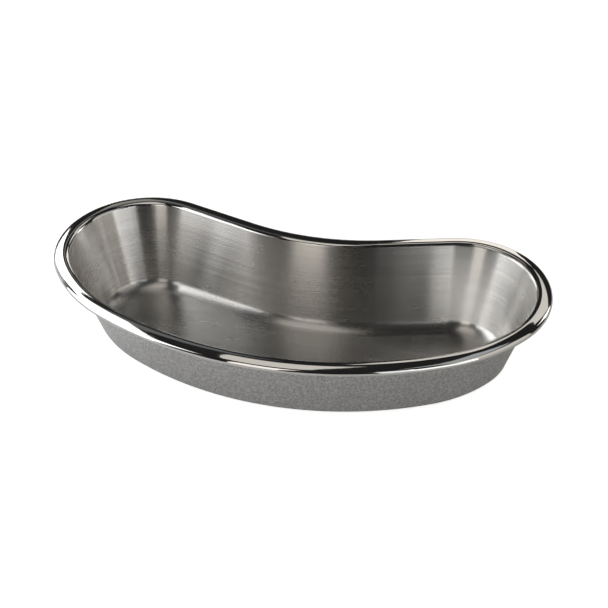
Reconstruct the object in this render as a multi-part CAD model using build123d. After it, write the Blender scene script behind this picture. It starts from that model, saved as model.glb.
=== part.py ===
from build123d import *
import os
from dataclasses import dataclass
from math import asin, atan2, cos, degrees, hypot, radians, sin

# Kidney dish (emesis basin) drawn from one sheet of stainless steel, in millimetres.
# Origin: centre of the base's underside. +X runs along the length, -Y to the convex
# front, +Y to the hollow side that is held against the body, +Z up.
# The dish is one sheet. Its nodes are the zones that the press and the curling tool form:
# flat base, corner radius, drafted wall, rim shoulder and rolled bead. They meet face to face.

SHEET = 0.7              # thickness of the steel
HEIGHT = 42.0            # base to the crest of the rim

# Plan shape. Every level is the same ring of arcs, with the same turns and its own radii.
FRONT_TURN = 28.2        # from the middle of the convex front to its end
SIDE_TURN = 30.0         # from the front round to the end
END_TURN = 137.2         # round the end and into the hollow side
BACK_TURN = FRONT_TURN + SIDE_TURN + END_TURN - 180.0

RIM_LENGTH = 250.0
RIM_SIDE_RADIUS = 80.5
RIM_END_RADIUS = 45.3
RIM_STRAIGHT = 36.2

FLOOR_LENGTH = 192.0
FLOOR_SIDE_RADIUS = 56.2
FLOOR_END_RADIUS = 20.6
FLOOR_STRAIGHT = 34.2
FLOOR_FRONT_Y = -38.6    # the flat base sits a little towards the front

# Section through the sheet, as it is at the middle of the front.
CORNER_RADIUS = 6.0      # outside, between base and wall
SHOULDER_RADIUS = 1.0    # outside, between wall and rim
BEAD_WIDTH = 5.6         # from the shoulder's crest to the outermost edge

# Rolled bead, outside surface, from the crest outwards, down and back under.
CREST_RADIUS = 10.0
CREST_TURN = 26.0        # the nose's radius takes up the rest of the width
CURL_RADIUS = 1.1        # lower edge of the bead
TUCK_RADIUS = 1.4        # where the raw edge turns up inside the bead
TUCK_TURN = 75.0
TUCK_INSET = 5.3         # where that last turn starts, from the outermost edge


def sine(angle):
    return sin(radians(angle))


def cosine(angle):
    return cos(radians(angle))


def smooth_path(point, heading, steps):
    """Edges joined tangentially: each step is a radius and a turn, or a length and no turn."""
    edges = []
    for size, turn in steps:
        if turn:
            edge = JernArc(point, heading, size, turn)
        else:
            edge = Line(point, point + heading * size)
        edges.append(edge)
        point = edge @ 1
        heading = edge % 1
    return edges


@dataclass
class Ring:
    """Kidney outline: front arc, two side arcs, two end arcs, two straights and the back arc."""

    front: float
    side: float
    end: float
    straight: float
    front_y: float

    def inset(self, distance):
        """The parallel outline that lies this far inside."""
        return Ring(self.front - distance, self.side - distance, self.end - distance,
                    self.straight, self.front_y + distance)

    def towards(self, other, share):
        """The outline that lies this share of the way to another one."""
        return Ring(self.front + share * (other.front - self.front),
                    self.side + share * (other.side - self.side),
                    self.end + share * (other.end - self.end),
                    self.straight + share * (other.straight - self.straight),
                    self.front_y + share * (other.front_y - self.front_y))

    def wire(self, z):
        """The closed wire at height z, anticlockwise from the left end of the front arc."""
        half_front = FRONT_TURN + SIDE_TURN
        lobe_x = (self.front * sine(FRONT_TURN)
                  + self.side * (sine(half_front) - sine(FRONT_TURN))
                  + self.end * (sine(half_front + END_TURN) - sine(half_front)))
        back = (lobe_x - self.straight * cosine(BACK_TURN)) / sine(BACK_TURN)
        steps = [(self.front, 2 * FRONT_TURN), (self.side, SIDE_TURN), (self.end, END_TURN),
                 (self.straight, 0.0), (back, -2 * BACK_TURN), (self.straight, 0.0),
                 (self.end, END_TURN), (self.side, SIDE_TURN)]
        start = Vector(-self.front * sine(FRONT_TURN),
                       self.front_y + self.front * (1 - cosine(FRONT_TURN)))
        heading = Vector(cosine(FRONT_TURN), -sine(FRONT_TURN))
        return Pos(0, 0, z) * Wire(smooth_path(start, heading, steps))

    def face(self, z):
        return make_face(self.wire(z))


def ring_of(length, side, end, straight, front_y=None):
    """Outline of this overall length; it is centred across the width unless front_y is given."""
    half_front = FRONT_TURN + SIDE_TURN
    front = (length / 2 - side * (sine(half_front) - sine(FRONT_TURN))
             - end * (1 - sine(half_front))) / sine(FRONT_TURN)
    if front_y is None:
        width = (front * (1 - cosine(FRONT_TURN))
                 + side * (cosine(FRONT_TURN) - cosine(half_front))
                 + end * (1 + cosine(half_front)))
        front_y = -width / 2
    return Ring(front, side, end, straight, front_y)


RIM = ring_of(RIM_LENGTH, RIM_SIDE_RADIUS, RIM_END_RADIUS, RIM_STRAIGHT)
CREST = RIM.inset(BEAD_WIDTH)
FLOOR = ring_of(FLOOR_LENGTH, FLOOR_SIDE_RADIUS, FLOOR_END_RADIUS, FLOOR_STRAIGHT, FLOOR_FRONT_Y)

# In section the wall is the line that touches both the corner's arc and the shoulder's arc.
REACH = FLOOR.front_y - CREST.front_y
SHOULDER_Z = HEIGHT - SHEET - SHOULDER_RADIUS
RISE = SHOULDER_Z - CORNER_RADIUS
DRAFT = (degrees(atan2(REACH, RISE))
         - degrees(asin((CORNER_RADIUS + SHOULDER_RADIUS) / hypot(REACH, RISE))))
CORNER_LEVELS = 8
SHOULDER_LEVELS = 8


def corner_points(thickness):
    """Section of the corner, as reach and height; thickness moves it to the sheet's inside."""
    radius = CORNER_RADIUS - thickness
    turns = [(90.0 - DRAFT) * step / CORNER_LEVELS for step in range(CORNER_LEVELS + 1)]
    return [(radius * sine(turn), CORNER_RADIUS - radius * cosine(turn)) for turn in turns]


def shoulder_points(thickness):
    """Section of the shoulder, from the wall up to the crest."""
    radius = SHOULDER_RADIUS + thickness
    turns = [DRAFT + (90.0 - DRAFT) * step / SHOULDER_LEVELS for step in range(SHOULDER_LEVELS + 1)]
    return [(REACH - radius * cosine(turn), SHOULDER_Z + radius * sine(turn)) for turn in turns]


def level(reach, z):
    """Face at height z; reach is measured from the flat base's edge at the front."""
    return FLOOR.towards(CREST, reach / REACH).face(z)


def bowl(thickness):
    """Solid that fills the dish up to the crest, inside or outside surface of the sheet."""
    points = corner_points(thickness) + shoulder_points(thickness)
    if thickness == 0.0:
        points.append((REACH, HEIGHT))
    return loft([level(*point) for point in points], ruled=True)


def slab(bottom, top):
    """Wide block between two heights, for slicing the sheet into its zones."""
    return Pos(0, 0, (bottom + top) / 2) * Box(2 * RIM_LENGTH, 2 * RIM_LENGTH, top - bottom)


def bead_section():
    """Face of the curled sheet at the middle of the front; x is outwards from the crest."""
    nose = (BEAD_WIDTH - CREST_RADIUS * sine(CREST_TURN)) / (1 - sine(CREST_TURN))
    turns = [(CREST_RADIUS, CREST_TURN), (nose, 90.0 - CREST_TURN), (CURL_RADIUS, 90.0)]
    sides = []
    for depth in (0.0, SHEET):
        steps = [(radius - depth, -turn) for radius, turn in turns]
        steps += [(TUCK_INSET - CURL_RADIUS, 0.0), (TUCK_RADIUS - depth, -TUCK_TURN)]
        sides.append(smooth_path(Vector(0, HEIGHT - depth), Vector(1, 0), steps))
    outside, inside = sides
    raw_edge = Line(outside[-1] @ 1, inside[-1] @ 1)
    crest_edge = Line(inside[0] @ 0, outside[0] @ 0)
    section = make_face(Wire(outside + [raw_edge] + inside + [crest_edge]))
    across = Plane(origin=(0, CREST.front_y, 0), x_dir=(0, -1, 0), z_dir=(-1, 0, 0))
    return across * section


def save(name, shape):
    solids = shape.solids()
    print(f"{name}: {len(solids)} solid, {shape.volume:.0f} mm3, valid {shape.is_valid}")
    export_step(shape, f"parts/{name}.step")


sheet = bowl(0.0) - bowl(SHEET)
corner_top = corner_points(0.0)[-1][1]
shoulder_bottom = shoulder_points(0.0)[0][1]
base = extrude(FLOOR.face(0), SHEET)

os.makedirs("parts", exist_ok=True)
save("flat_base", base)
save("base_corner", sheet & slab(0, corner_top) - base)
save("side_wall", sheet & slab(corner_top, shoulder_bottom))
save("rim_shoulder", sheet & slab(shoulder_bottom, HEIGHT))
save("rolled_bead", sweep(bead_section(), path=CREST.wire(HEIGHT)))
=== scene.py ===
from dataclasses import dataclass

import bpy
import numpy as np
from mathutils import Matrix, Vector


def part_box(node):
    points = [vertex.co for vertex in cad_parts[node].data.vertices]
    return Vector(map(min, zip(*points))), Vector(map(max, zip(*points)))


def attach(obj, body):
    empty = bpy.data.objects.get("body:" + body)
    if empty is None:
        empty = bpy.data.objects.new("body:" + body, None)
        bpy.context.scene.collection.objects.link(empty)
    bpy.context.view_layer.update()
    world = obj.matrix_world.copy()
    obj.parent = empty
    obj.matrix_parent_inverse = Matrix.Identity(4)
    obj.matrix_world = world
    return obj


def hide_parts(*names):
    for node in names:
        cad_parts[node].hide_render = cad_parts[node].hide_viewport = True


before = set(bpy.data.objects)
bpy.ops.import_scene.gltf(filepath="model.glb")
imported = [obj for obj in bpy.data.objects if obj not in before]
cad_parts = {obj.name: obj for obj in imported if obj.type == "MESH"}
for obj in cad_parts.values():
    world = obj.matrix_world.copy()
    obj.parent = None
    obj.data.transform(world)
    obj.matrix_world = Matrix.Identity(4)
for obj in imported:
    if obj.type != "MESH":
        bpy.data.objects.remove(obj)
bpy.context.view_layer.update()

# Kidney dish in pressed stainless steel, in metres. The dish is one sheet; its pieces are the
# zones of that sheet, and each is a closed shell whose surfaces run on into its neighbour's.

MM = 0.001

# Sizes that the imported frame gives.
RIM_LOW, RIM_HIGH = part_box("rolled_bead")
BASE_LOW, BASE_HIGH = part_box("flat_base")
HEIGHT = RIM_HIGH.z
SHEET = BASE_HIGH.z - BASE_LOW.z

# Plan shape: every level is the same ring of arcs, with the same turns and its own radii.
FRONT_TURN = 28.2
SIDE_TURN = 30.0
END_TURN = 137.2
HALF_FRONT = FRONT_TURN + SIDE_TURN
BACK_TURN = HALF_FRONT + END_TURN - 180.0
TIP_TURN = 90.0 - HALF_FRONT   # part of the end arc before the outermost point

RIM_SIDE_RADIUS = 80.5 * MM
RIM_END_RADIUS = 45.3 * MM
RIM_STRAIGHT = 36.2 * MM

FLOOR_SIDE_RADIUS = 56.2 * MM
FLOOR_END_RADIUS = 20.6 * MM
FLOOR_STRAIGHT = 34.2 * MM

# Section, as it is at the middle of the front.
CORNER_RADIUS = 6.0 * MM      # outside, between base and wall
SHOULDER_RADIUS = 1.0 * MM    # outside, between wall and rim
BEAD_WIDTH = 5.6 * MM         # from the shoulder's crest to the outermost edge
CREST_RADIUS = 10.0 * MM
CREST_TURN = 26.0             # the nose's radius takes up the rest of the width
CURL_RADIUS = 1.1 * MM        # lower edge of the bead
TUCK_RADIUS = 1.4 * MM        # where the raw edge turns up inside the bead
TUCK_TURN = 75.0
TUCK_INSET = 5.3 * MM         # where that last turn starts, from the outermost edge

# Mesh density: columns on each stretch of the front half and of the back half, then rows.
FRONT_COLUMNS = (22, 36, 148, 36, 22)
BACK_COLUMNS = (72, 32, 56, 32, 72)
CORNER_ROWS = 12
WALL_ROWS = 14
SHOULDER_ROWS = 12
CREST_ROWS = 8
NOSE_ROWS = 12
CURL_ROWS = 10
UNDER_ROWS = 4
TUCK_ROWS = 8
FLOOR_ROWS = 24


def sine(angle):
    return float(np.sin(np.radians(angle)))


def cosine(angle):
    return float(np.cos(np.radians(angle)))


def left_of(heading):
    """Unit vectors square to a heading in degrees, on its left."""
    angle = np.radians(heading)
    return np.stack([-np.sin(angle), np.cos(angle)], axis=-1)


def walk(place, heading, steps):
    """Points and headings along tangent straights and arcs: (length or radius, turn, count)."""
    points = []
    headings = []
    for size, turn, count in steps:
        share = np.arange(count + 1) / count
        ahead = -left_of(heading + 90.0)
        angle = heading + turn * share
        if turn:
            radius = size * np.sign(turn)
            path = place + radius * (left_of(heading) - left_of(angle))
        else:
            path = place + size * share[:, None] * ahead
        points.append(path[:-1])
        headings.append(angle[:-1])
        place = path[-1]
        heading = angle[-1]
    points.append([place])
    headings.append([heading])
    return np.concatenate(points), np.concatenate(headings)


@dataclass
class Ring:
    """Kidney outline: front arc, two side arcs, two end arcs, two straights and the back arc."""

    front: float
    side: float
    end: float
    straight: float
    front_y: float

    def inset(self, distance):
        return Ring(self.front - distance, self.side - distance, self.end - distance,
                    self.straight, self.front_y + distance)

    def plan(self):
        """Points and headings of the outline, one for each column, anticlockwise from the left tip."""
        lobe_x = (self.front * sine(FRONT_TURN)
                  + self.side * (sine(HALF_FRONT) - sine(FRONT_TURN))
                  + self.end * (sine(HALF_FRONT + END_TURN) - sine(HALF_FRONT)))
        back = (lobe_x - self.straight * cosine(BACK_TURN)) / sine(BACK_TURN)
        steps = ((self.end, TIP_TURN), (self.side, SIDE_TURN), (self.front, 2 * FRONT_TURN),
                 (self.side, SIDE_TURN), (self.end, TIP_TURN), (self.end, END_TURN - TIP_TURN),
                 (self.straight, 0.0), (back, -2 * BACK_TURN), (self.straight, 0.0),
                 (self.end, END_TURN - TIP_TURN))
        tip_x = (self.end + (self.side - self.end) * sine(HALF_FRONT)
                 + (self.front - self.side) * sine(FRONT_TURN))
        tip_y = (self.front_y + self.front * (1 - cosine(FRONT_TURN))
                 + self.side * (cosine(FRONT_TURN) - cosine(HALF_FRONT))
                 + self.end * cosine(HALF_FRONT))
        counts = FRONT_COLUMNS + BACK_COLUMNS
        points, headings = walk(np.array([-tip_x, tip_y]), -90.0,
                                [(*step, count) for step, count in zip(steps, counts)])
        return points[:-1], headings[:-1]


def ring_of(length, side, end, straight, front_y=None):
    """Outline of this overall length; it is centred across the width unless front_y is given."""
    front = (length / 2 - side * (sine(HALF_FRONT) - sine(FRONT_TURN))
             - end * (1 - sine(HALF_FRONT))) / sine(FRONT_TURN)
    if front_y is None:
        width = (front * (1 - cosine(FRONT_TURN))
                 + side * (cosine(FRONT_TURN) - cosine(HALF_FRONT))
                 + end * (1 + cosine(HALF_FRONT)))
        front_y = -width / 2
    return Ring(front, side, end, straight, front_y)


RIM = ring_of(RIM_HIGH.x - RIM_LOW.x, RIM_SIDE_RADIUS, RIM_END_RADIUS, RIM_STRAIGHT)
CREST = RIM.inset(BEAD_WIDTH)
FLOOR = ring_of(BASE_HIGH.x - BASE_LOW.x, FLOOR_SIDE_RADIUS, FLOOR_END_RADIUS, FLOOR_STRAIGHT,
                BASE_LOW.y)

REACH = FLOOR.front_y - CREST.front_y
SHOULDER_Z = HEIGHT - SHEET - SHOULDER_RADIUS
RISE = SHOULDER_Z - CORNER_RADIUS
DRAFT = float(np.degrees(np.arctan2(REACH, RISE)
                         - np.arcsin((CORNER_RADIUS + SHOULDER_RADIUS) / np.hypot(REACH, RISE))))


# ---- Section of the sheet at the middle of the front, as points (reach, z) and headings ----

def bowl_section(depth):
    """From the edge of the flat base up to the crest; depth is how far inside the sheet it runs."""
    slant = np.hypot(REACH, RISE)
    wall = np.sqrt(slant ** 2 - (CORNER_RADIUS + SHOULDER_RADIUS) ** 2)
    return walk(np.array([0.0, depth]), 0.0,
                ((CORNER_RADIUS - depth, 90.0 - DRAFT, CORNER_ROWS),
                 (wall, 0.0, WALL_ROWS),
                 (SHOULDER_RADIUS + depth, DRAFT - 90.0, SHOULDER_ROWS)))


def bead_section(depth):
    """From the crest out over the nose, down and back under; reach is counted from the crest."""
    nose = (BEAD_WIDTH - CREST_RADIUS * sine(CREST_TURN)) / (1 - sine(CREST_TURN))
    return walk(np.array([0.0, HEIGHT - depth]), 0.0,
                ((CREST_RADIUS - depth, -CREST_TURN, CREST_ROWS),
                 (nose - depth, CREST_TURN - 90.0, NOSE_ROWS),
                 (CURL_RADIUS - depth, -90.0, CURL_ROWS),
                 (TUCK_INSET - CURL_RADIUS, 0.0, UNDER_ROWS),
                 (TUCK_RADIUS - depth, -TUCK_TURN, TUCK_ROWS)))


# ---- Surfaces: a section carried round the plan outline ----

FLOOR_PLAN, PLAN_HEADINGS = FLOOR.plan()
CREST_PLAN, _ = CREST.plan()
OUTWARD = -left_of(PLAN_HEADINGS)
COLUMNS = len(PLAN_HEADINGS)

# Texture distances are shares of this length: twice the crest's way round the front half.
GIRTH = 2 * sum(np.linalg.norm(np.diff(CREST_PLAN[:COLUMNS // 2], axis=0), axis=1))


@dataclass
class Surface:
    """Rows by columns of points, with the normals and the distance from the crest."""

    points: np.ndarray
    normals: np.ndarray
    distance: np.ndarray

    def rows(self, first, last):
        return Surface(self.points[first:last + 1], self.normals[first:last + 1],
                       self.distance[first:last + 1])

    def turned(self):
        """The same surface with its rows in reverse order."""
        return Surface(self.points[::-1], self.normals[::-1], self.distance[::-1])


def carried(section, plan, across, side):
    """A section carried round the plan; side is 1 for the sheet's upper or inner face, else -1."""
    places, headings = section
    upright = left_of(headings)
    points = np.empty((len(places), COLUMNS, 3))
    normals = np.empty_like(points)
    points[:, :, :2] = plan + places[:, 0, None, None] * across
    points[:, :, 2] = places[:, 1, None]
    lean = np.sum(across * OUTWARD, axis=1)
    normals[:, :, :2] = upright[:, None, :1] * OUTWARD
    normals[:, :, 2] = upright[:, 1:] * lean
    normals *= side / np.linalg.norm(normals, axis=2)[:, :, None]
    steps = np.linalg.norm(np.diff(points, axis=0), axis=2)
    distance = np.concatenate([np.zeros((1, COLUMNS)), np.cumsum(steps, axis=0)])
    return Surface(points, normals, distance)


def bowl_surface(depth, side):
    """The sheet from base to crest, which leans out most where the dish flares most."""
    surface = carried(bowl_section(depth), FLOOR_PLAN, (CREST_PLAN - FLOOR_PLAN) / REACH, side)
    surface.distance -= surface.distance[-1]
    return surface


def bead_surface(depth, side):
    return carried(bead_section(depth), CREST_PLAN, OUTWARD, side)


# ---- Meshes ----

def add_mesh(name, points, faces, normals, uvs, slots, materials):
    """A mesh with its own corner normals, so that neighbouring pieces shade as one sheet."""
    mesh = bpy.data.meshes.new(name)
    mesh.from_pydata(points.tolist(), [], faces)
    for material in materials:
        mesh.materials.append(material)
    mesh.polygons.foreach_set("material_index", slots)
    mesh.polygons.foreach_set("use_smooth", [True] * len(faces))
    layer = mesh.uv_layers.new(name="sheet")
    layer.uv.foreach_set("vector", np.asarray(uvs, dtype=np.float32).ravel())
    mesh.normals_split_custom_set(normals)
    mesh.update()
    piece = bpy.data.objects.new(name, mesh)
    bpy.context.scene.collection.objects.link(piece)
    return piece


def closed_band(name, upper, lower, materials):
    """A closed ring of sheet: its upper face, its lower face and the two narrow edges."""
    back = lower.turned()
    points = np.concatenate([upper.points, back.points])
    normals = np.concatenate([upper.normals, back.normals])
    distance = np.concatenate([upper.distance, back.distance])
    rows = len(points)
    split = len(upper.points)
    faces = []
    corner_normals = []
    uvs = []
    slots = []
    for row in range(rows):
        following = (row + 1) % rows
        is_edge = following in (0, split)
        for column in range(COLUMNS):
            beside = (column + 1) % COLUMNS
            corners = ((row, column), (following, column), (following, beside), (row, beside))
            faces.append([r * COLUMNS + c for r, c in corners])
            if is_edge:
                a, b, _, d = (points[r, c] for r, c in corners)
                flat = np.cross(b - a, d - a)
                flat = flat / np.linalg.norm(flat)
                corner_normals += [flat] * 4
            else:
                corner_normals += [normals[r, c] for r, c in corners]
            here = column / COLUMNS
            ahead = (column + 1) / COLUMNS
            along = (here, here, ahead, ahead)
            uvs += [(u, distance[r, c] / GIRTH) for u, (r, c) in zip(along, corners)]
            slots.append(0 if row < split - 1 else 1)
    return add_mesh(name, points.reshape(-1, 3), faces, corner_normals, uvs, slots, materials)


def flat_disc(name, materials):
    """The flat base: rungs across the kidney from the front half to the back half of its edge."""
    half = COLUMNS // 2
    layers = []
    for z in (SHEET, 0.0):
        front = FLOOR_PLAN[1:half]
        back = FLOOR_PLAN[:half:-1]
        share = np.linspace(0.0, 1.0, FLOOR_ROWS + 1)[None, 1:-1, None]
        inner = (front[:, None] + share * (back - front)[:, None]).reshape(-1, 2)
        flat = np.concatenate([FLOOR_PLAN, inner])
        layers.append(np.concatenate([flat, np.full((len(flat), 1), z)], axis=1))
    count = len(layers[0])

    def index(rung, step):
        if rung in (0, half) or step == 0:
            return rung
        if step == FLOOR_ROWS:
            return COLUMNS - rung
        return COLUMNS + (rung - 1) * (FLOOR_ROWS - 1) + step - 1

    top = []
    for rung in range(half):
        for step in range(FLOOR_ROWS):
            corners = [index(rung, step), index(rung + 1, step),
                       index(rung + 1, step + 1), index(rung, step + 1)]
            face = [c for n, c in enumerate(corners) if c not in corners[:n]]
            top.append(face)
    faces = top + [[count + c for c in reversed(face)] for face in top]
    faces += [[(c + 1) % COLUMNS, c, count + c, count + (c + 1) % COLUMNS]
              for c in range(COLUMNS)]
    normals = [(0, 0, 1)] * sum(map(len, top)) + [(0, 0, -1)] * sum(map(len, top))
    for column in range(COLUMNS):
        side = (*OUTWARD[column], 0)
        beyond = (*OUTWARD[(column + 1) % COLUMNS], 0)
        normals += [beyond, side, side, beyond]
    points = np.concatenate(layers)
    uvs = [points[c, :2] / GIRTH for face in faces for c in face]
    slots = [0] * len(top) + [1] * (len(faces) - len(top))
    return add_mesh(name, points, faces, normals, uvs, slots, materials)


# ---- Materials ----

def link(tree, socket, source):
    """Feeds a socket from another socket or from a plain value."""
    if isinstance(source, bpy.types.NodeSocket):
        tree.links.new(source, socket)
    else:
        socket.default_value = source


def math(tree, operation, *sources):
    node = tree.nodes.new("ShaderNodeMath")
    node.operation = operation
    for socket, source in zip(node.inputs, sources):
        link(tree, socket, source)
    return node.outputs[0]


def spread(tree, value, low, high, start=0.0, end=1.0, smooth=False):
    """Maps a value's stretch from start to end onto low to high, and holds it there beyond."""
    node = tree.nodes.new("ShaderNodeMapRange")
    node.interpolation_type = "SMOOTHSTEP" if smooth else "LINEAR"
    for socket, source in zip(node.inputs, (value, start, end, low, high)):
        link(tree, socket, source)
    return node.outputs[0]


NOISE_RANGE = (0.3, 0.7)   # most of a noise lies between these


def noise(tree, vector, detail, size=1.0):
    node = tree.nodes.new("ShaderNodeTexNoise")
    node.inputs["Scale"].default_value = 1.0 / size
    node.inputs["Detail"].default_value = detail
    tree.links.new(vector, node.inputs["Vector"])
    return node.outputs["Fac"]


def place_in_dish(tree):
    return tree.nodes.new("ShaderNodeTexCoord").outputs["Object"]


def sheet_place(tree):
    """Metres along the sheet's run round the dish, and metres out from the crest."""
    node = tree.nodes.new("ShaderNodeUVMap")
    node.uv_map = "sheet"
    split = tree.nodes.new("ShaderNodeSeparateXYZ")
    tree.links.new(node.outputs["UV"], split.inputs["Vector"])
    return [math(tree, "MULTIPLY", split.outputs[axis], GIRTH) for axis in ("X", "Y")]


def brushed_vector(tree, along, across):
    """Noise space for brush lines this long and this far apart, with no seam round the dish."""
    run, out = sheet_place(tree)
    turn = math(tree, "MULTIPLY", run, 2 * np.pi / GIRTH)
    radius = GIRTH / (2 * np.pi * along)
    join = tree.nodes.new("ShaderNodeCombineXYZ")
    link(tree, join.inputs["X"], math(tree, "MULTIPLY", math(tree, "COSINE", turn), radius))
    link(tree, join.inputs["Y"], math(tree, "MULTIPLY", math(tree, "SINE", turn), radius))
    link(tree, join.inputs["Z"], math(tree, "DIVIDE", out, across))
    return join.outputs["Vector"]


def scratches(tree, angle, length, width):
    """Sparse short scratches at an angle to the brush lines: 1 inside a scratch, 0 elsewhere."""
    run, out = sheet_place(tree)
    ahead = math(tree, "ADD", math(tree, "MULTIPLY", run, cosine(angle) / length),
                 math(tree, "MULTIPLY", out, sine(angle) / length))
    aside = math(tree, "SUBTRACT", math(tree, "MULTIPLY", out, cosine(angle) / width),
                 math(tree, "MULTIPLY", run, sine(angle) / width))
    join = tree.nodes.new("ShaderNodeCombineXYZ")
    link(tree, join.inputs["X"], ahead)
    link(tree, join.inputs["Y"], aside)
    link(tree, join.inputs["Z"], angle)
    return spread(tree, noise(tree, join.outputs["Vector"], 0.0), 0.0, 1.0, 0.70, 0.76)


def bump(tree, height, depth, under=None):
    node = tree.nodes.new("ShaderNodeBump")
    node.inputs["Strength"].default_value = 1.0
    node.inputs["Distance"].default_value = depth
    tree.links.new(height, node.inputs["Height"])
    if under is not None:
        tree.links.new(under, node.inputs["Normal"])
    return node.outputs["Normal"]


# Sockets of the Mix node for each kind of value: first, second and result.
MIX_SOCKETS = {"VECTOR": (4, 5, 1), "RGBA": (6, 7, 2)}


def mix(tree, kind, factor, first, second):
    """Blends two vectors or two colours; a factor of 0 gives the first."""
    node = tree.nodes.new("ShaderNodeMix")
    node.data_type = kind
    first_socket, second_socket, result = MIX_SOCKETS[kind]
    link(tree, node.inputs["Factor"], factor)
    link(tree, node.inputs[first_socket], first)
    link(tree, node.inputs[second_socket], second)
    return node.outputs[result]


def new_metal(name):
    material = bpy.data.materials.new(name)
    material.use_nodes = True
    shader = material.node_tree.nodes["Principled BSDF"]
    shader.inputs["Metallic"].default_value = 1.0
    return material, material.node_tree, shader


def use_tangent(tree, shader):
    """Turns the gloss so that it spreads across the brush lines."""
    tangent = tree.nodes.new("ShaderNodeTangent")
    tangent.direction_type = "UV_MAP"
    tangent.uv_map = "sheet"
    tree.links.new(tangent.outputs["Tangent"], shader.inputs["Tangent"])
    shader.inputs["Anisotropic Rotation"].default_value = 0.25


SATIN_DARK = (0.54, 0.53, 0.515, 1.0)
SATIN_LIGHT = (0.68, 0.67, 0.65, 1.0)
SATIN_ROUGHNESS = 0.26
SATIN_GRAIN = 0.94            # anisotropy of the brushed finish
BRUSH_LENGTH = 60.0 * MM
BRUSH_SPACING = 0.55 * MM
BRUSH_DEPTH = 0.006 * MM
BROAD_LENGTH = 150.0 * MM     # bundles of brush lines
BROAD_SPACING = 1.4 * MM
CLOUD_SIZE = 28.0 * MM        # patches that the brush left a little duller
SCRATCH_TONE = 0.15

POLISH_TINT = (0.70, 0.695, 0.68, 1.0)
POLISH_ROUGHNESS = 0.05
SMEAR_SIZE = 9.0 * MM
WAVE_SIZE = 12.0 * MM
WAVE_DEPTH = 0.06 * MM
HAIR_LENGTH = 30.0 * MM
HAIR_SPACING = 0.3 * MM
HAIR_DEPTH = 0.002 * MM

POLISH_END = 2.2 * MM         # how far inside the crest the polish runs out
POLISH_END_SWAY = 0.8 * MM    # added at the left tip, taken off at the right
POLISH_END_SOFTNESS = 0.3 * MM

MATT_DARK = (0.36, 0.36, 0.36, 1.0)
MATT_LIGHT = (0.70, 0.70, 0.70, 1.0)
MATT_ROUGHNESS = 0.38
GRAIN_SIZE = 0.55 * MM
PIT_SIZE = 1.3 * MM
MATT_CLOUD_SIZE = 20.0 * MM
PEBBLE_DEPTH = 0.12 * MM


def satin_look(tree):
    """Colour, roughness and normal of the brushed inside."""
    fine = noise(tree, brushed_vector(tree, BRUSH_LENGTH, BRUSH_SPACING), 2.0)
    coarse = noise(tree, brushed_vector(tree, BROAD_LENGTH, BROAD_SPACING), 1.0)
    cloud = noise(tree, place_in_dish(tree), 3.0, size=CLOUD_SIZE)
    lines = math(tree, "ADD", math(tree, "MULTIPLY", fine, 0.7),
                 math(tree, "MULTIPLY", coarse, 0.3))
    marks = math(tree, "MAXIMUM", scratches(tree, 38.0, 7.0 * MM, 0.35 * MM),
                 scratches(tree, -52.0, 5.0 * MM, 0.3 * MM))
    tone = math(tree, "MULTIPLY_ADD", marks, SCRATCH_TONE,
                spread(tree, lines, 0.0, 1.0 - SCRATCH_TONE, *NOISE_RANGE))
    colour = mix(tree, "RGBA", tone, SATIN_DARK, SATIN_LIGHT)
    roughness = math(tree, "ADD", spread(tree, coarse, -0.008, 0.008, *NOISE_RANGE),
                     spread(tree, cloud, SATIN_ROUGHNESS - 0.02, SATIN_ROUGHNESS + 0.02, *NOISE_RANGE))
    return colour, roughness, bump(tree, fine, BRUSH_DEPTH)


def satin_steel():
    """Inside of the bowl: fine lines brushed round the wall and along the flat base."""
    material, tree, shader = new_metal("satin_steel")
    colour, roughness, normal = satin_look(tree)
    link(tree, shader.inputs["Base Color"], colour)
    link(tree, shader.inputs["Roughness"], roughness)
    link(tree, shader.inputs["Normal"], normal)
    shader.inputs["Anisotropic"].default_value = SATIN_GRAIN
    use_tangent(tree, shader)
    return material


def polish_normal(tree):
    """Slight waves and hairlines of a buffed rim."""
    wave = noise(tree, place_in_dish(tree), 1.0, size=WAVE_SIZE)
    hair = noise(tree, brushed_vector(tree, HAIR_LENGTH, HAIR_SPACING), 1.0)
    return bump(tree, hair, HAIR_DEPTH, bump(tree, wave, WAVE_DEPTH))


def polished_steel():
    """The rim: mirror polished, with faint smears."""
    material, tree, shader = new_metal("polished_steel")
    smear = noise(tree, place_in_dish(tree), 3.0, size=SMEAR_SIZE)
    shader.inputs["Base Color"].default_value = POLISH_TINT
    link(tree, shader.inputs["Roughness"],
         spread(tree, smear, POLISH_ROUGHNESS - 0.02, POLISH_ROUGHNESS + 0.04, 0.35, 0.75))
    link(tree, shader.inputs["Normal"], polish_normal(tree))
    return material


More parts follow.
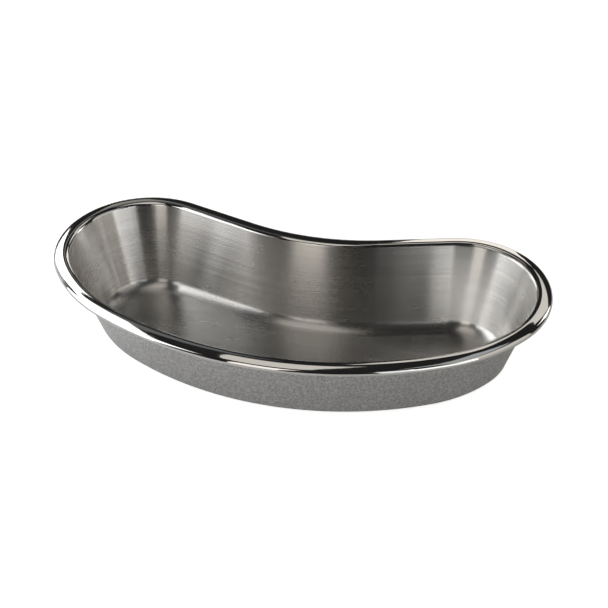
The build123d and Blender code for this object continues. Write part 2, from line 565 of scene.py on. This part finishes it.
def shoulder_steel():
    """Where the polish of the rim runs out into the satin of the bowl."""
    material, tree, shader = new_metal("shoulder_steel")
    run, out = sheet_place(tree)
    sway = math(tree, "COSINE", math(tree, "MULTIPLY", run, 2 * np.pi / GIRTH))
    edge = math(tree, "MULTIPLY_ADD", sway, -POLISH_END_SWAY, -POLISH_END)
    ragged = noise(tree, brushed_vector(tree, 6.0 * MM, 1.0 * MM), 2.0)
    ragged = spread(tree, ragged, -POLISH_END_SOFTNESS, POLISH_END_SOFTNESS, *NOISE_RANGE)
    past_edge = math(tree, "SUBTRACT", out, math(tree, "ADD", edge, ragged))
    polish = spread(tree, past_edge, 0.0, 1.0, -POLISH_END_SOFTNESS, POLISH_END_SOFTNESS, True)
    satin = math(tree, "SUBTRACT", 1.0, polish)
    colour, roughness, normal = satin_look(tree)
    link(tree, shader.inputs["Base Color"], mix(tree, "RGBA", polish, colour, POLISH_TINT))
    link(tree, shader.inputs["Normal"], mix(tree, "VECTOR", polish, normal, polish_normal(tree)))
    link(tree, shader.inputs["Roughness"],
         math(tree, "MAXIMUM", math(tree, "MULTIPLY", roughness, satin), POLISH_ROUGHNESS))
    link(tree, shader.inputs["Anisotropic"], math(tree, "MULTIPLY", satin, SATIN_GRAIN))
    use_tangent(tree, shader)
    return material


def matt_steel():
    """Outside and underside: a dull pebbled grain left by the blasting."""
    material, tree, shader = new_metal("matt_steel")
    place = place_in_dish(tree)
    grain = noise(tree, place, 2.0, size=GRAIN_SIZE)
    pits = noise(tree, place, 1.0, size=PIT_SIZE)
    cloud = noise(tree, place, 3.0, size=MATT_CLOUD_SIZE)
    speckle = math(tree, "ADD", math(tree, "MULTIPLY", grain, 0.6),
                   math(tree, "MULTIPLY", pits, 0.4))
    tone = spread(tree, speckle, 0.0, 1.0, 0.38, 0.62)
    link(tree, shader.inputs["Base Color"], mix(tree, "RGBA", tone, MATT_DARK, MATT_LIGHT))
    link(tree, shader.inputs["Roughness"],
         math(tree, "ADD", spread(tree, grain, -0.05, 0.05, *NOISE_RANGE),
              spread(tree, cloud, MATT_ROUGHNESS - 0.05, MATT_ROUGHNESS + 0.05, *NOISE_RANGE)))
    link(tree, shader.inputs["Normal"], bump(tree, speckle, PEBBLE_DEPTH))
    return material


SATIN = satin_steel()
MATT = matt_steel()
POLISHED = polished_steel()
SHOULDER = shoulder_steel()


def build_dish():
    inner = bowl_surface(SHEET, 1)
    outer = bowl_surface(0.0, -1)
    wall_start = CORNER_ROWS
    wall_end = CORNER_ROWS + WALL_ROWS
    crest = wall_end + SHOULDER_ROWS
    pieces = {"flat_base": flat_disc("base", (SATIN, MATT))}
    for node, first, last, materials in (
            ("base_corner", 0, wall_start, (SATIN, MATT)),
            ("side_wall", wall_start, wall_end, (SATIN, MATT)),
            ("rim_shoulder", wall_end, crest, (SHOULDER, MATT))):
        pieces[node] = closed_band(node.replace("_", "-"), inner.rows(first, last),
                                   outer.rows(first, last), materials)
    pieces["rolled_bead"] = closed_band("bead", bead_surface(0.0, 1), bead_surface(SHEET, -1),
                                        (POLISHED, POLISHED))
    for node, piece in pieces.items():
        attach(piece, "root")
        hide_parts(node)


# Camera: where it stands as seen from the dish, and how far the dish is from its axis.
CAMERA_AZIMUTH = 16.22        # from the middle of the front, towards +X
CAMERA_ELEVATION = 38.48
CAMERA_ROLL = -2.09
CAMERA_DISTANCE = 1.04487
CAMERA_ASIDE = 5.18 * MM
CAMERA_ABOVE = 24.45 * MM
SENSOR_WIDTH = 36.0           # millimetres, like the focal length
FOCAL_LENGTH = 124.50789


def build_camera():
    azimuth, elevation, roll = np.radians((CAMERA_AZIMUTH, CAMERA_ELEVATION, CAMERA_ROLL))
    back = Vector((np.sin(azimuth) * np.cos(elevation), -np.cos(azimuth) * np.cos(elevation),
                   np.sin(elevation)))
    level = Vector((np.cos(azimuth), np.sin(azimuth), 0.0))
    upright = back.cross(level)
    right = level * np.cos(roll) + upright * np.sin(roll)
    up = upright * np.cos(roll) - level * np.sin(roll)
    place = back * CAMERA_DISTANCE + right * CAMERA_ASIDE + up * CAMERA_ABOVE
    data = bpy.data.cameras.new("camera")
    data.sensor_width = SENSOR_WIDTH
    data.lens = FOCAL_LENGTH
    data.clip_start = 0.01
    camera = bpy.data.objects.new("camera", data)
    camera.matrix_world = Matrix((
        (right.x, up.x, back.x, place.x), (right.y, up.y, back.y, place.y),
        (right.z, up.z, back.z, place.z), (0, 0, 0, 1)))
    bpy.context.scene.collection.objects.link(camera)
    bpy.context.scene.camera = camera


# Studio lights, as seen from the dish: azimuths run clockwise from +Y, the hollow side, and
# elevations from the floor, in degrees. Each panel is (name, azimuth, elevation, half width,
# half height, distance, brightness, tint).
WARM = (1.0, 0.95, 0.88)
NEUTRAL = (1.0, 1.0, 1.0)
COOL = (0.93, 0.98, 1.0)
PANELS = (
    ("left soft box", -112, 22, 24, 24, 0.6, 2.0, NEUTRAL),
    ("left arch", -84, 48, 15, 9, 0.6, 1.9, NEUTRAL),
    ("left back", -56, 30, 12, 14, 0.65, 2.4, NEUTRAL),
    ("left back edge", -29, 30, 3, 12, 0.7, 0.3, WARM),
    ("left low", -74, 14, 10, 14, 0.65, 0.5, NEUTRAL),
    ("left glow", -44, 54, 12, 5, 0.8, 0.14, COOL),
    ("tall strip", 0, 14, 8, 17, 0.7, 1.2, WARM),
    ("strip top", 4, 53, 8, 6, 0.7, 0.8, WARM),
    ("warm fill", 24, 39, 13, 8, 0.75, 0.8, WARM),
    ("small reflector", 52, 22, 7, 14, 0.7, 1.9, NEUTRAL),
    ("right wall", 103, 28, 21, 26, 0.8, 0.7, WARM),
    ("low right", 133, 14, 13, 16, 0.7, 1.5, NEUTRAL),
    ("right front", 151, 20, 5, 18, 0.7, 1.1, NEUTRAL),
    ("camera side", -166, 26, 8, 22, 0.7, 1.3, WARM),
    ("left ceiling", -85, 79, 18, 8, 0.8, 0.75, WARM),
    ("right ceiling", 90, 67, 18, 7, 0.8, 0.45, COOL),
)
ROOM = 0.018                  # brightness of the dim room between the panels
FLOOR_SIZE = 6.0
FLOOR_GAP = 0.2 * MM          # keeps the floor clear of the underside
FLOOR_GLOW = 0.75             # seen by the camera only, so that the floor meets the surroundings


def towards(azimuth, elevation):
    return Vector((sine(azimuth) * cosine(elevation), cosine(azimuth) * cosine(elevation),
                   sine(elevation)))


def panel_light(name, azimuth, elevation, half_width, half_height, distance, brightness, tint):
    """A flat panel that faces the dish; the camera sees it only as a reflection."""
    data = bpy.data.lights.new(name, "AREA")
    data.shape = "RECTANGLE"
    data.size = 2 * distance * np.tan(np.radians(half_width))
    data.size_y = 2 * distance * np.tan(np.radians(half_height))
    data.energy = brightness * np.pi * data.size * data.size_y
    data.color = tint
    light = bpy.data.objects.new(name, data)
    light.location = towards(azimuth, elevation) * distance
    light.rotation_euler = light.location.to_track_quat("Z", "Y").to_euler()
    light.visible_camera = False
    bpy.context.scene.collection.objects.link(light)


def build_world():
    """A dim room that is plain white where the camera sees it."""
    world = bpy.data.worlds.new("studio")
    world.use_nodes = True
    tree = world.node_tree
    seen = tree.nodes.new("ShaderNodeLightPath").outputs["Is Camera Ray"]
    background = tree.nodes["Background"]
    background.inputs["Color"].default_value = (1.0, 1.0, 1.0, 1.0)
    strength = math(tree, "ADD", math(tree, "MULTIPLY", seen, 1.0 - ROOM), ROOM)
    tree.links.new(strength, background.inputs["Strength"])
    bpy.context.scene.world = world


def floor_material():
    """Plain white."""
    material = bpy.data.materials.new("floor")
    material.use_nodes = True
    tree = material.node_tree
    shader = tree.nodes["Principled BSDF"]
    shader.inputs["Base Color"].default_value = (0.9, 0.9, 0.9, 1.0)
    shader.inputs["Roughness"].default_value = 0.8
    shader.inputs["Specular IOR Level"].default_value = 0.0
    shader.inputs["Emission Color"].default_value = (1.0, 1.0, 1.0, 1.0)
    seen = tree.nodes.new("ShaderNodeLightPath").outputs["Is Camera Ray"]
    link(tree, shader.inputs["Emission Strength"], math(tree, "MULTIPLY", seen, FLOOR_GLOW))
    return material


def build_floor():
    bpy.ops.mesh.primitive_plane_add(size=FLOOR_SIZE)
    floor = bpy.context.object
    floor.name = "floor"
    floor.location.z = -FLOOR_GAP
    floor.data.materials.append(floor_material())


def build_studio():
    build_world()
    for panel in PANELS:
        panel_light(*panel)
    build_floor()
    bpy.context.scene.view_settings.view_transform = "Standard"


build_camera()
build_dish()
build_studio()
